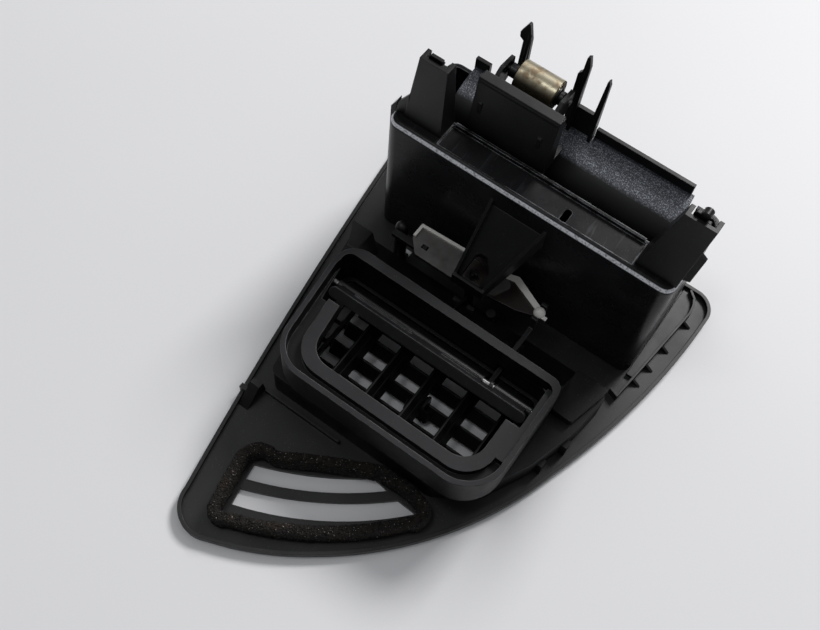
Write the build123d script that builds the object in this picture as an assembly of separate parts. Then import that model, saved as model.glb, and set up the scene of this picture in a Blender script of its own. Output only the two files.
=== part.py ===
from build123d import *
import os
from math import atan2, degrees, radians, sin

# Car side-window air vent with a demister outlet and a pull-out pocket.
# Working frame, millimetres: the panel lies face down on z = 0 and its back is up.
# X runs along the vent mouth, Y from the demister outlet to the pocket.
# The last section moves everything so that the origin is the middle of the base.

# ---- driving dimensions -------------------------------------------------
PLATE = 2.4            # fascia wall
RIM_HEIGHT = 5.0       # fascia return flange, from the front face
RIM_WALL = 1.8
WALL = 2.2             # moulded walls of the duct and the pocket

DUCT_X = (-46.0, 70.5)     # duct cavity, wide end
DUCT_Y = (-61.0, -9.5)
DUCT_NEAR_X = -38.0        # its slanted side wall ends here at the low Y side
FRAME_GAP = 0.3
FRAME_WALL = 1.8
FRAME_TOP = 24.6

BODY_BASE_TOP = 20.0
BODY_TOP = 36.0
BODY_BACK = 15.4          # wall behind the duct
COLLAR_TOP = 46.0
LEDGE_TOP = 42.6
LEDGE_END = -34.2          # the ledge runs round the low Y side up to here
GROOVE_FLOOR = 38.0

REAR_VANE_X0 = -17.2
REAR_VANE_PITCH = 19.3
REAR_VANE_COUNT = 5
REAR_AXIS_Z = 18.0
REAR_HALF_DEPTH = 6.4
REAR_CRANK = 4.6
REAR_Y = (-57.6, -17.4)
VANE_WALL = 1.5
REAR_TILT = -20.0          # resting turn of the rear blades, tops towards -X

FRONT_VANE_Y0 = -51.4
FRONT_VANE_PITCH = 12.0
FRONT_VANE_COUNT = 4
FRONT_AXIS_Z = 6.8
FRONT_HALF_DEPTH = 4.2
FRONT_CRANK = 3.2
FRONT_TILT = 30.0          # resting turn of the front blades, tops towards +Y
FRONT_X = (-32.5, 66.0)
KNOB_VANE = 1              # the second front vane carries the knob
KNOB_REAR_VANE = 2         # and its fork holds the third rear vane

FLAP_Y = -22.0
FLAP_Z = 35.0
FLAP_TILT = 48.0           # resting angle from the closed position
FLAP_X = (-41.2, 68.8)
FLAP_CRANK = 8.0
CRANK_X = 44.5

LEVER_Z = (33.6, 36.0)
BRACKET_Z = (75.5, 47.0)   # bracket's upper face at the housing and at its foot
BRACKET_Y = 10.5           # foot of the bracket
PIVOT = (8.5, 19.5)
BALL = (44.5, 23.3, 36.0)
BALL_R = 3.0
SLIDER = (-37.0, 24.0)
SLIDER_PIN_X = -20.0

BOX_X = (-60.0, 93.0)      # pocket housing
BOX_Y = (38.0, 95.4)
BOX_TOP = 87.0
STRIP_Y = 56.0             # back edge of the housing's top strip

BIN_X = (-44.0, 76.0)      # pull-out pocket
BIN_Y = (58.0, 90.0)
BIN_RADIUS = 30.0
RIDGE_TOP = 94.5
NOTCH_X = (-36.0, 23.0)    # gap in the ridge for the prongs

COIL_Y = 80.0
COIL_Z = 111.0
COIL_X = (-16.8, 3.2)
COIL_R = 8.0
COIL_WALL = 0.8
AXLE_R = 1.5
RUNNING = 0.05             # radial clearance of a pin in its hole

FOAM_TOP = 12.5
FOAM_WIDTH = 6.2


# ---- small helpers ------------------------------------------------------
def block(xs, ys, zs):
    """A box between two limits along each axis."""
    size = (xs[1] - xs[0], ys[1] - ys[0], zs[1] - zs[0])
    middle = ((xs[0] + xs[1]) / 2, (ys[0] + ys[1]) / 2, (zs[0] + zs[1]) / 2)
    return Pos(*middle) * Box(*size)


def rounded(points, radii):
    """A flat closed outline with one corner radius for each point."""
    return make_face(FilletPolyline(*points, radius=radii, close=True))


def prism(face, low, high):
    """A flat outline in the XY plane, as a solid between two heights."""
    return Pos(0, 0, low) * extrude(face, amount=high - low)


def side_plate(points, xs):
    """A plate of YZ outline, between two places along X."""
    face = make_face(Polyline(*[(0, y, z) for y, z in points], close=True))
    return Pos(xs[0], 0, 0) * extrude(face, amount=xs[1] - xs[0], dir=(1, 0, 0))


def front_plate(points, ys):
    """A plate of XZ outline, between two places along Y."""
    face = make_face(Polyline(*[(x, 0, z) for x, z in points], close=True))
    return Pos(0, ys[0], 0) * extrude(face, amount=ys[1] - ys[0], dir=(0, 1, 0))


def rod_x(xs, y, z, r):
    return Pos((xs[0] + xs[1]) / 2, y, z) * Rot(0, 90, 0) * Cylinder(r, xs[1] - xs[0])


def rod_y(x, ys, z, r):
    return Pos(x, (ys[0] + ys[1]) / 2, z) * Rot(90, 0, 0) * Cylinder(r, ys[1] - ys[0])


def rod_z(x, y, zs, r):
    return Pos(x, y, (zs[0] + zs[1]) / 2) * Cylinder(r, zs[1] - zs[0])


def ring(outer, inner, low, high):
    return prism(outer, low, high) - prism(inner, low - 1, high + 1)


# ---- fascia -------------------------------------------------------------
def fascia_face():
    """The sail-shaped panel: a nearly straight long side and a curved one."""
    edges = [
        ThreePointArc((-43, -137), (-62.3, -35), (-80, 90)),
        ThreePointArc((-80, 90), (-77.5, 98.8), (-69, 102)),
        Line((-69, 102), (100, 102)),
        ThreePointArc((100, 102), (108.5, 98.5), (112, 90)),
        ThreePointArc((112, 90), (106.6, 30), (92, -28)),
        ThreePointArc((92, -28), (64.5, -86), (24, -127)),
        ThreePointArc((24, -127), (3, -140.6), (-20, -150.5)),
        ThreePointArc((-20, -150.5), (-36.8, -149), (-43, -137)),
    ]
    return make_face(edges)


def outlet_band(near, far, depth):
    """A curved demister slot: near and far are its ends along the outlet."""
    (x0, y0), (x1, y1), bulge = near
    (x2, y2), (x3, y3), bulge_far = far
    edges = [
        ThreePointArc((x0, y0), bulge, (x1, y1)),
        Line((x1, y1), (x3, y3)),
        ThreePointArc((x3, y3), bulge_far, (x2, y2)),
        Line((x2, y2), (x0, y0)),
    ]
    return prism(make_face(edges), -1, depth)


def demister_slots():
    upper = outlet_band(((-25.2, -109), (24.2, -80.6), (3.5, -95)),
                        ((-24, -117), (33.3, -81.7), (8, -101.3)), PLATE + 1)
    lower = outlet_band(((-22.9, -121.9), (39.6, -82.5), (11, -104.8)),
                        ((-21.3, -130.2), (50.3, -82.9), (16.5, -112)), PLATE + 1)
    return upper + lower


def seal_outline(inset):
    """The outlet's surround, shrunk by inset."""
    edges = [
        Line((-33, -112), (-28, -137)),
        ThreePointArc((-28, -137), (-24, -142), (-16, -140.5)),
        ThreePointArc((-16, -140.5), (25, -118.5), (53, -92)),
        ThreePointArc((53, -92), (57.5, -83), (52, -76.8)),
        ThreePointArc((52, -76.8), (46, -75), (36, -74.8)),
        Line((36, -74.8), (25, -75.5)),
        ThreePointArc((25, -75.5), (6, -85), (-18, -99)),
        ThreePointArc((-18, -99), (-30, -103), (-33, -112)),
    ]
    face = make_face(edges)
    return offset(face, amount=-inset) if inset else face


def grille_face(inset):
    """The air passage's outline, shrunk by inset."""
    left, right = DUCT_X
    low, high = DUCT_Y
    slant = (left - DUCT_NEAR_X) / (high - low)
    points = [
        (left - slant * inset + inset, high - inset),
        (DUCT_NEAR_X + slant * inset + inset, low + inset),
        (right - inset, low + inset),
        (right - inset, high - inset),
    ]
    return rounded(points, 4.5)


def catch_wedge():
    ramp = side_plate([(-90, PLATE), (-76, PLATE), (-77, 11), (-80, 11.5)], (-50.5, -45))
    foot = block((-54.5, -46), (-84, -81.5), (PLATE, 7.5))
    return ramp + foot


def fascia():
    face = fascia_face()
    plate = prism(face, 0, PLATE)
    front_edges = plate.edges().filter_by_position(Axis.Z, -0.01, 0.01)
    plate = fillet(front_edges, 1.1)
    rim = ring(face, offset(face, amount=-RIM_WALL), PLATE, RIM_HEIGHT)
    body = plate + rim
    body += catch_wedge()
    body += block((-44, 0.7), (-77.6, -76.2), (PLATE, 5.6))
    # lip, curved rib and gussets beside the pocket
    lip = [(93.4, 38), (97, 38), (102.2, 86), (100.5, 94), (97, 97.5), (93.4, 97.5)]
    body += prism(make_face(Polyline(*lip, close=True)), PLATE, 4.6)
    for start, end in zip(SIDE_RIB, SIDE_RIB[1:]):
        body += wall(start, end, 1.2, 7.2)
    for y in (36, 47, 61, 80):
        x = 97.4 + (y - 38) * 0.108
        body += front_plate([(x, PLATE), (x + 5, PLATE), (x, 6.4)], (y, y + 1.4))
    body -= demister_slots()
    body -= prism(grille_face(2.1), -1, PLATE + 1)
    gap = 0.4
    body -= block((BIN_X[0] - 2 - gap, BIN_X[1] + 2 + gap), (BIN_Y[0] - 1.5 - gap, BIN_Y[1] + 2.5 + gap),
                  (-1, PLATE + 1))
    body -= slider_slot()
    return body


SIDE_RIB = [(91.6, 25), (95.6, 23.6), (97.4, 38), (102.6, 86), (102, 91), (100.4, 95), (97, 98)]


def wall(start, end, thick, top):
    """A thin wall on the panel, from one place to another."""
    run = Vector(*end) - Vector(*start)
    middle = (Vector(*end) + Vector(*start)) / 2
    turn = degrees(atan2(run.Y, run.X))
    height = top - PLATE
    plate = Rot(0, 0, turn) * Box(run.length + thick, thick, height)
    return Pos(middle.X, middle.Y, PLATE + height / 2) * plate


def slider_slot():
    x, y = SLIDER
    return block((x - 3.9, x + 3.9), (y - 10.2, y + 7.6), (-1, PLATE + 1))


def demister_seal():
    return ring(seal_outline(0), seal_outline(FOAM_WIDTH), PLATE, FOAM_TOP)


# ---- vent body and collar ------------------------------------------------
BODY_BASE = [(-43.5, -72.8), (50, -72.8), (70, -60), (82, -36),
             (90, -8), (93, BODY_BACK), (-59.5, BODY_BACK)]
BODY_BASE_R = [5, 8, 14, 20, 20, 5, 5]
RIM_POINTS = [(-49.5, -4), (-42, -75), (75, -75), (75, -5.5)]
RIM_RADII = [12, 19, 20, 6]


def rim_face(inset):
    """Collar outline, shrunk by inset on all sides but the top one."""
    outline = rounded(RIM_POINTS, RIM_RADII)
    return offset(outline, amount=-inset) if inset else outline


def roof(shrink, low, high_cut):
    """Sloped roof behind the collar, as a solid."""
    foot = Polyline((-48.5 + shrink, -7, low), (-59.5 + shrink, BODY_BACK - 0.2 - shrink, low),
                    (74 - shrink, BODY_BACK - 0.2 - shrink, low), (74 - shrink, -7, low), close=True)
    crest = high_cut
    head = Polyline((-48.5 + shrink, -7, crest), (-51 + shrink, -2.5 - shrink, crest),
                    (74 - shrink, -2.5 - shrink, crest), (74 - shrink, -7, crest), close=True)
    return Solid.make_loft([foot.wire(), head.wire()], True)


def vent_body():
    base_face = rounded(BODY_BASE, BODY_BASE_R)
    base = prism(base_face, PLATE, BODY_BASE_TOP)
    neck = prism(offset(rim_face(0), amount=-1.4), BODY_BASE_TOP, BODY_TOP)
    pod = prism(rounded([(74, -9.8), (85.8, -10.2), (91.8, 14.6), (74, 14.6)], 2), BODY_BASE_TOP, 25)
    outside = base + neck + roof(0, BODY_BASE_TOP, BODY_TOP) + pod
    hollow = prism(offset(base_face, amount=-WALL), PLATE - 1, BODY_BASE_TOP - WALL)
    hollow += prism(offset(rim_face(0), amount=-1.4 - WALL), BODY_BASE_TOP - WALL - 1, BODY_TOP - WALL)
    hollow += roof(WALL, BODY_BASE_TOP - WALL - 1, BODY_TOP - WALL - 1)
    duct = prism(grille_face(-WALL), PLATE, BODY_TOP) & outside
    body = outside - hollow + duct
    body -= prism(grille_face(0), PLATE - 1, BODY_TOP + 1)
    body += shoulder()
    # stiffening rib, two pads and a boss at the foot of the roof
    body += side_plate([(3, 26), (14.6, 20), (14.6, 26.5), (3, 33)], (9.2, 10.4))
    body += block((4.5, 8.5), (9.5, 11.5), (22, 26)) + block((12.6, 16.6), (9.5, 11.5), (22, 26))
    body += rod_z(24.8, 12.4, (19, 29.5), 2.4)
    for x, y in ((87.6, -15), (83, -30)):
        body += snap_hook(x, y)
    return body - rod_channel() - shaft_hole()


def shoulder():
    """Broad left corner of the roof."""
    plan = [(-48.2, -6.6), (-60.3, 14.6), (-48, 14.6), (-38, 6), (-34, -6.6)]
    crest = [(-48.2, -6.6), (-50.7, -2.8), (-46, -2.8), (-38, -2.8), (-34, -6.6)]
    low = prism(make_face(Polyline(*plan, close=True)), BODY_BASE_TOP - 1, 28)
    foot = Polyline(*[(x, y, 28) for x, y in plan], close=True)
    head = Polyline(*[(x, y, BODY_TOP - 0.2) for x, y in crest], close=True)
    return low + Solid.make_loft([foot.wire(), head.wire()], True)


def snap_hook(x, y):
    hook = block((x - 2, x + 3), (y - 2.2, y + 2.2), (PLATE, 12))
    return hook - block((x + 1.4, x + 4), (y - 1.2, y + 1.2), (5, 9.5))


def shaft_hole():
    """Running hole for the damper's shaft in both side walls."""
    return rod_x((DUCT_X[0] - 0.2, DUCT_X[1] + 1.8), FLAP_Y, FLAP_Z, 1.6 + RUNNING)


def rod_channel():
    """Passage for the flap's push rod through the duct wall and the roof."""
    return block((CRANK_X - 2.2, CRANK_X + 2.2), (DUCT_Y[1] - 1, 20), (24.8, 33))


def collar():
    outside = prism(rim_face(0), BODY_TOP - 10, COLLAR_TOP)
    skirt_gap = prism(offset(rim_face(0), amount=-1.4), BODY_TOP - 11, BODY_TOP)
    mouth_points = [(-46.6, -9.5), (-39.6, -72.4), (72.4, -72.4), (72.4, -9.5)]
    mouth = prism(rounded(mouth_points, [9, 16.5, 17.5, 4]), GROOVE_FLOOR, COLLAR_TOP + 1)
    tube = outside - skirt_gap - mouth
    tube -= prism(grille_face(0), BODY_TOP - 1, COLLAR_TOP + 1)
    low_side = block((-80, 100), (-90, LEDGE_END), (GROOVE_FLOOR - 3, LEDGE_TOP))
    ledge_out = [(-39.5, -20), (-34, -68.2), (68.2, -68.2), (68.2, -20)]
    ledge_in = [(-33.3, -20), (-28, -62), (62, -62), (62, -20)]
    outer = prism(rounded(ledge_out, [3, 16, 16, 3]), GROOVE_FLOOR - 1, LEDGE_TOP)
    outer += prism(rounded(mouth_points, [9, 16.5, 17.5, 4]), GROOVE_FLOOR - 2, GROOVE_FLOOR)
    inner = prism(rounded(ledge_in, [3, 11.5, 11.5, 3]), GROOVE_FLOOR - 3, LEDGE_TOP + 1)
    tube -= block((-80, 100), (-7.2, 0), (BODY_TOP - 11, BODY_TOP))
    ring_wall = (outer & low_side) - inner
    # the ledge's right end runs into the side wall
    ring_wall += block((66, 72.6), (LEDGE_END - 18, LEDGE_END), (GROOVE_FLOOR - 1, LEDGE_TOP))
    side_step = block((69.4, 72.6), (LEDGE_END - 1, DUCT_Y[1] - 1), (GROOVE_FLOOR - 1, LEDGE_TOP))
    return tube + ring_wall + side_step - rod_channel() - shaft_hole()


# ---- vanes ----------------------------------------------------------------
def rear_x(index):
    return REAR_VANE_X0 + index * REAR_VANE_PITCH


def front_y(index):
    return FRONT_VANE_Y0 + index * FRONT_VANE_PITCH


def frame_left(y):
    """Outside of the vane frame's slanted wall."""
    slope = (DUCT_NEAR_X - DUCT_X[0]) / (DUCT_Y[1] - DUCT_Y[0])
    return DUCT_X[0] + slope * (DUCT_Y[1] - y) + FRAME_GAP


def vane_frame():
    frame = ring(grille_face(FRAME_GAP), grille_face(FRAME_GAP + FRAME_WALL), PLATE, FRAME_TOP)
    for index in range(REAR_VANE_COUNT):
        frame -= rod_y(rear_x(index), (-70, 0), REAR_AXIS_Z, 1.2 + RUNNING)
    for index in range(FRONT_VANE_COUNT):
        frame -= rod_x((-60, 80), front_y(index), FRONT_AXIS_Z, 1.0 + RUNNING)
    return frame


def rear_vane(index):
    x = rear_x(index)
    blade = block((x - VANE_WALL / 2, x + VANE_WALL / 2), REAR_Y,
                  (REAR_AXIS_Z - REAR_HALF_DEPTH, REAR_AXIS_Z + REAR_HALF_DEPTH))
    blade = fillet(blade.edges().filter_by(Axis.Y), 0.6)
    blade = Pos(x, 0, REAR_AXIS_Z) * Rot(0, REAR_TILT, 0) * Pos(-x, 0, -REAR_AXIS_Z) * blade
    if index == KNOB_REAR_VANE:
        y = front_y(KNOB_VANE)
        blade -= block((x - 9, x + 9), (y - 5.6, y + 7.6), (0, REAR_AXIS_Z - 2))
        blade += block((x - VANE_WALL / 2, x + VANE_WALL / 2), (y - 1.2, y + 1.2), (12.8, REAR_AXIS_Z))
    axle = rod_y(x, (DUCT_Y[0] + 0.6, DUCT_Y[1] - 0.6), REAR_AXIS_Z, 1.2)
    web = block((x - 0.75, x + 0.75), (REAR_Y[1] - 1, REAR_Y[1]), (REAR_AXIS_Z, REAR_AXIS_Z + REAR_CRANK))
    crank = rod_y(x, (REAR_Y[1] - 1, REAR_Y[1] + 3), REAR_AXIS_Z + REAR_CRANK, 0.75)
    return blade + axle + web + crank


def rear_link():
    ys = (REAR_Y[1] + 0.6, REAR_Y[1] + 2.4)
    z = REAR_AXIS_Z + REAR_CRANK
    bar = block((rear_x(0) - 3.5, rear_x(REAR_VANE_COUNT - 1) + 3.5), ys, (z - 2, z + 1.8))
    for index in range(REAR_VANE_COUNT):
        x = rear_x(index)
        bar -= block((x - 1.05, x + 1.05), (ys[0] - 1, ys[1] + 1), (z - 1.45, z + 1.05))
    return bar


def front_tilt(part, y):
    """Turn a part about a front vane's axis to the blade's resting angle."""
    return Pos(0, y, FRONT_AXIS_Z) * Rot(-FRONT_TILT, 0, 0) * Pos(0, -y, -FRONT_AXIS_Z) * part


def front_vane(index):
    y = front_y(index)
    blade = block(FRONT_X, (y - VANE_WALL / 2, y + VANE_WALL / 2),
                  (FRONT_AXIS_Z - FRONT_HALF_DEPTH, FRONT_AXIS_Z + FRONT_HALF_DEPTH))
    blade = front_tilt(fillet(blade.edges().filter_by(Axis.X), 0.6), y)
    web = block((FRONT_X[0], FRONT_X[0] + 1), (y - 0.75, y + 0.75),
                (FRONT_AXIS_Z, FRONT_AXIS_Z + FRONT_CRANK))
    left = rod_x((frame_left(y) + 0.4, FRONT_X[0] + 1), y, FRONT_AXIS_Z, 1.0)
    right = rod_x((FRONT_X[1] - 1, DUCT_X[1] - 0.6), y, FRONT_AXIS_Z, 1.0)
    crank = rod_x((FRONT_X[0] - 3, FRONT_X[0] + 1), y, FRONT_AXIS_Z + FRONT_CRANK, 0.75)
    return blade + web + left + right + crank


def front_link():
    xs = (FRONT_X[0] - 2.4, FRONT_X[0] - 0.6)
    z = FRONT_AXIS_Z + FRONT_CRANK
    bar = block(xs, (front_y(0) - 2.2, front_y(FRONT_VANE_COUNT - 1) + 1.9), (z - 1.7, z + 1.5))
    for index in range(FRONT_VANE_COUNT):
        y = front_y(index)
        bar -= block((xs[0] - 1, xs[1] + 1), (y - 0.9, y + 0.9), (z - 1.15, z + 0.9))
    return bar


def slider_knob():
    x = rear_x(KNOB_REAR_VANE)
    y = front_y(KNOB_VANE)
    grip = block((x - 7, x + 7), (y - 3.2, y + 3.2), (1.6, 8.5))
    grip = fillet(grip.edges().filter_by(Axis.Z), 1.6)
    for step in range(-2, 3):
        grip -= block((x + 2.4 * step - 0.4, x + 2.4 * step + 0.4), (y - 4, y + 4), (1, 2.2))
    fork = block((x - 3.2, x + 3.2), (y - 2.2, y + 4.4), (7.5, 14.2))
    fork -= block((x - 1.7, x + 1.7), (y - 3, y + 6), (11.6, 15))
    slot = block((x - 8, x + 8), (y - VANE_WALL / 2 - 0.06, y + VANE_WALL / 2 + 0.06),
                 (2.55, FRONT_AXIS_Z + FRONT_HALF_DEPTH + 0.06))
    return front_tilt(grip, y) + fork - front_tilt(slot, y)


# ---- damper -----------------------------------------------------------------
def tilted(part):
    """Turn a part drawn flat about the flap's axis to its resting angle."""
    return Pos(0, FLAP_Y, FLAP_Z) * Rot(-FLAP_TILT, 0, 0) * Pos(0, -FLAP_Y, -FLAP_Z) * part


def damper_flap():
    y, z = FLAP_Y, FLAP_Z
    panel = block((FLAP_X[0] + 2.6, FLAP_X[1] - 2.6), (y - 8.4, y + 9.6), (z - 0.9, z + 1.4))
    low, top = z - 4.2, z + 1.4
    lip_points = [(FLAP_X[0], low), (FLAP_X[1], low), (FLAP_X[1], top), (FLAP_X[0], top)]
    lip = front_plate(lip_points, (y - 9.6, y - 7.8))
    lip = fillet(lip.edges().filter_by(Axis.Y), 2.7)
    tab = block((FLAP_X[0] + 6, FLAP_X[0] + 10), (y - 9.6, y - 7.8), (low - 2.5, low + 1))
    ribs = block((-30, 3), (y - 5.2, y - 4.2), (z + 1.3, z + 2.4))
    ribs += block((20, 40), (y - 5.2, y - 4.2), (z + 1.3, z + 2.4))
    tube = rod_x(FLAP_X, y, z, 2.4)
    flap = tilted(panel + lip + tab + ribs) + tube
    flap -= block((CRANK_X - 2.4, CRANK_X + 4), (y - 3.2, y + 20), (20, z + 10))
    return flap - rod_x((-60, 80), y, z, 1.62)


def flap_shaft():
    return rod_x((DUCT_X[0] + 0.4, DUCT_X[1] + 1.4), FLAP_Y, FLAP_Z, 1.6)


def flap_crank():
    y, z = FLAP_Y, FLAP_Z
    arm = block((CRANK_X + 1.4, CRANK_X + 3.2), (y - 2, y + 2), (z - FLAP_CRANK - 1.6, z))
    arm += rod_x((CRANK_X + 1.4, CRANK_X + 3.2), y, z, 2.6)
    pin = rod_x((CRANK_X - 1.4, CRANK_X + 1.6), y, z - FLAP_CRANK, 1.0)
    return arm + pin - rod_x((30, 60), y, z, 1.62)


def push_rod():
    x = CRANK_X
    z = FLAP_Z - FLAP_CRANK
    y_ball = BALL[1]
    rod = block((x - 1.1, x + 1.1), (FLAP_Y, y_ball + 6), (z - 1.1, z + 1.3))
    eye = block((x - 0.9, x + 0.9), (FLAP_Y - 3.4, FLAP_Y + 3.4), (z - 1.8, z + 4.8))
    eye -= block((x - 2, x + 2), (FLAP_Y - 1.42, FLAP_Y + 1.42), (z - 1.2, z + 3.7))
    rod = rod - block((x - 2, x + 2), (FLAP_Y - 3.4, FLAP_Y + 3.4), (z - 3, z + 6)) + eye
    for low, high in ((-BALL_R - 2.1, -BALL_R - 0.3), (BALL_R + 0.8, BALL_R + 2.6)):
        rod += block((x - 1.6, x + 1.6), (y_ball + low, y_ball + high), (z - 1.1, BALL[2] + 1.2))
    return rod


def rocker_lever():
    x, y = PIVOT
    arm = rounded([(-28.5, 29.2), (-28.5, 21), (-22, 13.6), (12, 13.6), (22, 18.5), (26, 27), (20, 31.5)],
                  [0.8, 1.5, 1.5, 3, 3, 2, 3])
    lever = prism(arm, *LEVER_Z)
    low, high = LEVER_Z
    web = rounded([(18, 16.5), (34, 18.2), (44, 21.6), (44, 25), (24, 33.4), (18, 30)],
                  [1, 4, 0.8, 0.8, 1.5, 1.5])
    lever += prism(web, low, low + 1.2)
    spine = rounded([(18, 31.2), (26.5, 33.8), (44.5, 25.6), (44.5, 22.4), (26, 30), (18, 28.6)], 0.7)
    lever += prism(spine, low, high + 0.6)
    rim = rounded([(-28.5, 29.2), (-28.5, 21), (-27, 21.4), (-27, 27.6), (20, 29.6), (20, 31.5)], 0.4)
    lever += prism(rim, high, high + 1.4)
    lever += Pos(*BALL) * Sphere(BALL_R)
    lever += Pos(BALL[0] + 3.4, BALL[1] - 1.2, BALL[2] - 0.4) * Box(2.6, 2, 2)
    lever += rod_z(x, y, (low - 1.2, high + 1.2), 4.4)
    lever -= rod_z(x, y, (low - 3, high + 3), 2.2 + RUNNING)
    lever -= block((SLIDER_PIN_X - 1.8, SLIDER_PIN_X + 1.8), (y - 1.3, y + 1.3), (low - 1, high + 3))
    return lever


def lever_pin():
    """Cross-shaped pivot standing on the roof, with a round journal."""
    x, y = PIVOT
    low, high = LEVER_Z
    pin = rod_z(x, y, (low - 1.6, high + 1.6), 2.2)
    foot = rod_z(x, y, (PLATE, low - 1.6), 2.5)
    top = block((x - 2.1, x + 2.1), (y - 0.6, y + 0.6), (high + 1.6, high + 6))
    top += block((x - 0.6, x + 0.6), (y - 2.1, y + 2.1), (high + 1.6, high + 6))
    return pin + foot + top


def bracket_bar(top_x, low_x, rise, drop_top, drop_low):
    """Bar from the housing's front wall down to the bracket's foot."""
    ends = []
    for xs, y, z, drop in ((top_x, BOX_Y[0], BRACKET_Z[0], drop_top), (low_x, BRACKET_Y, BRACKET_Z[1], drop_low)):
        ends.append(Polyline((xs[0], y, z + rise), (xs[1], y, z + rise),
                             (xs[1], y, z - drop), (xs[0], y, z - drop), close=True).wire())
    return Solid.make_loft(ends, True)


def lever_bracket():
    """Sloped trapezoid with a sunk web, side ribs and a window over the pivot."""
    web = bracket_bar((0.5, 31), (2, 19.5), -2.4, 5.1, 5.1)
    left = bracket_bar((0.5, 2), (2, 3.5), 1.6, 12, 5)
    right = bracket_bar((29.5, 31), (18, 19.5), 1.6, 12, 5)
    low_z = BRACKET_Z[1]
    lip = block((2, 19.5), (BRACKET_Y - 1.6, BRACKET_Y), (low_z - 5, low_z + 1.6))
    window = prism(rounded([(5.2, 12.4), (16, 12.4), (16.6, 18), (13, 22), (7, 22)],
                           [0.8, 0.8, 3, 3, 3]), 30, 70)
    return web - window + left + right + lip


def shutoff_slider():
    """Finger slider: a post from the front face to the lever's slot."""
    x, y = SLIDER
    low = LEVER_Z[0]
    post = rod_z(x, y, (3.4, low - 1.4), 3.3)
    pad = block((x - 3.3, x + 3.3), (y - 3.7, y + 3.7), (0.8, 3.4))
    for step in range(-1, 2):
        pad -= block((x - 4, x + 4), (y + 2 * step - 0.35, y + 2 * step + 0.35), (0, 1.3))
    head = Pos(x, y, low - 1.4) * Sphere(3.3)
    arm = block((x, SLIDER_PIN_X + 1.8), (PIVOT[1] - 1.8, PIVOT[1] + 1.8), (low - 3.2, low - 0.8))
    arm += block((x - 1.8, x + 1.8), (PIVOT[1] - 1.8, y), (low - 3.2, low - 0.8))
    pin = rod_z(SLIDER_PIN_X, PIVOT[1], (low - 1, LEVER_Z[1]), 1.2)
    return post + pad + head + arm + pin


# ---- pocket -----------------------------------------------------------------
def pocket_housing():
    xs, ys = BOX_X, BOX_Y
    shell = block(xs, ys, (PLATE, BOX_TOP))
    shell = fillet(shell.edges().filter_by(Axis.Z), 6)
    top_front = [e for e in shell.edges()
                 if abs(e.center().Z - BOX_TOP) < 0.1 and e.center().Y < ys[0] + 6.5]
    shell = fillet(top_front, 3.2)
    inside = block((xs[0] + WALL, xs[1] - WALL), (ys[0] + WALL, ys[1] - WALL), (PLATE - 1, BOX_TOP - WALL))
    inside = fillet(inside.edges().filter_by(Axis.Z), 4)
    shell -= inside
    shell -= block((BIN_X[0] - 3, BIN_X[1] + 3), (STRIP_Y, ys[1] + 1), (BOX_TOP - 30, BOX_TOP + 1))
    shell -= block((xs[0] - 1, xs[1] + 1), (STRIP_Y + 14, ys[1] + 1), (BOX_TOP - 12, BOX_TOP + 1))
    shell += block((-32, 70), (STRIP_Y - 1.5, STRIP_Y), (BOX_TOP - 4, BOX_TOP + 1.2))
    shell -= prism(rounded([(33, 41), (36.4, 41), (36.4, 49), (33, 49)], 1.6), 60, BOX_TOP + 2)
    shell -= block((-33, 71), (ys[0] + 3.2, STRIP_Y - 1.5), (BOX_TOP - 1, BOX_TOP + 1))
    wing = front_plate([(-62, 26), (-59, 22), (-59, 94), (-62, 88)], (45, 49))
    return shell + wing


def clip_tower(base_x, top_x, base_y, top_y, height):
    """A tapered channel, open at the back."""
    t = 2.0
    z0 = BOX_TOP
    z1 = BOX_TOP + height

    def loft(grow_x, back, z_low, z_high):
        foot = Polyline((base_x[0] + grow_x, base_y[0] + back, z_low),
                        (base_x[1] - grow_x, base_y[0] + back, z_low),
                        (base_x[1] - grow_x, base_y[1] + 5 * back, z_low),
                        (base_x[0] + grow_x, base_y[1] + 5 * back, z_low), close=True)
        head = Polyline((top_x[0] + grow_x, top_y[0] + back, z_high),
                        (top_x[1] - grow_x, top_y[0] + back, z_high),
                        (top_x[1] - grow_x, top_y[1] + 5 * back, z_high),
                        (top_x[0] + grow_x, top_y[1] + 5 * back, z_high), close=True)
        return Solid.make_loft([foot.wire(), head.wire()], True)

    return loft(0, 0, z0, z1) - loft(t, t, z0, z1)


def left_tower():
    tower = clip_tower((-54, -33.5), (-50.3, -35.6), (44.2, STRIP_Y), (47.2, 53.6), 41)
    flange = front_plate([(-59, BOX_TOP), (-52.5, BOX_TOP), (-52.5, 103), (-58, 94)], (45, 47))
    return tower + flange


def right_tower():
    tower = clip_tower((71.6, 92.4), (80.2, 95.4), (42.6, STRIP_Y), (46.6, 53), 43)
    flange = front_plate([(91, BOX_TOP), (96, BOX_TOP + 2), (97.2, 108), (93, 111)], (47.5, 49.5))
    return tower + flange


def snap_tongue(x0, x1, y, top, knob):
    low = BOX_TOP + 12
    tongue = front_plate([(x0, low), (x1, low), (x1, top - 3), (x1 - 2, top - 3), (x1 - 2, top),
                          (x0 + 1, top), (x0, top - 2)], (y, y + 1.6))
    hook = side_plate([(y + 1.6, top - 8), (y + 4.4, top - 5), (y + 1.6, top - 1)], (x0 + 2, x1 - 3))
    tongue += hook
    if knob:
        tongue += rod_y(x0 + 5, (y, y + 3.5), top, 2.2)
    return tongue


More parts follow.
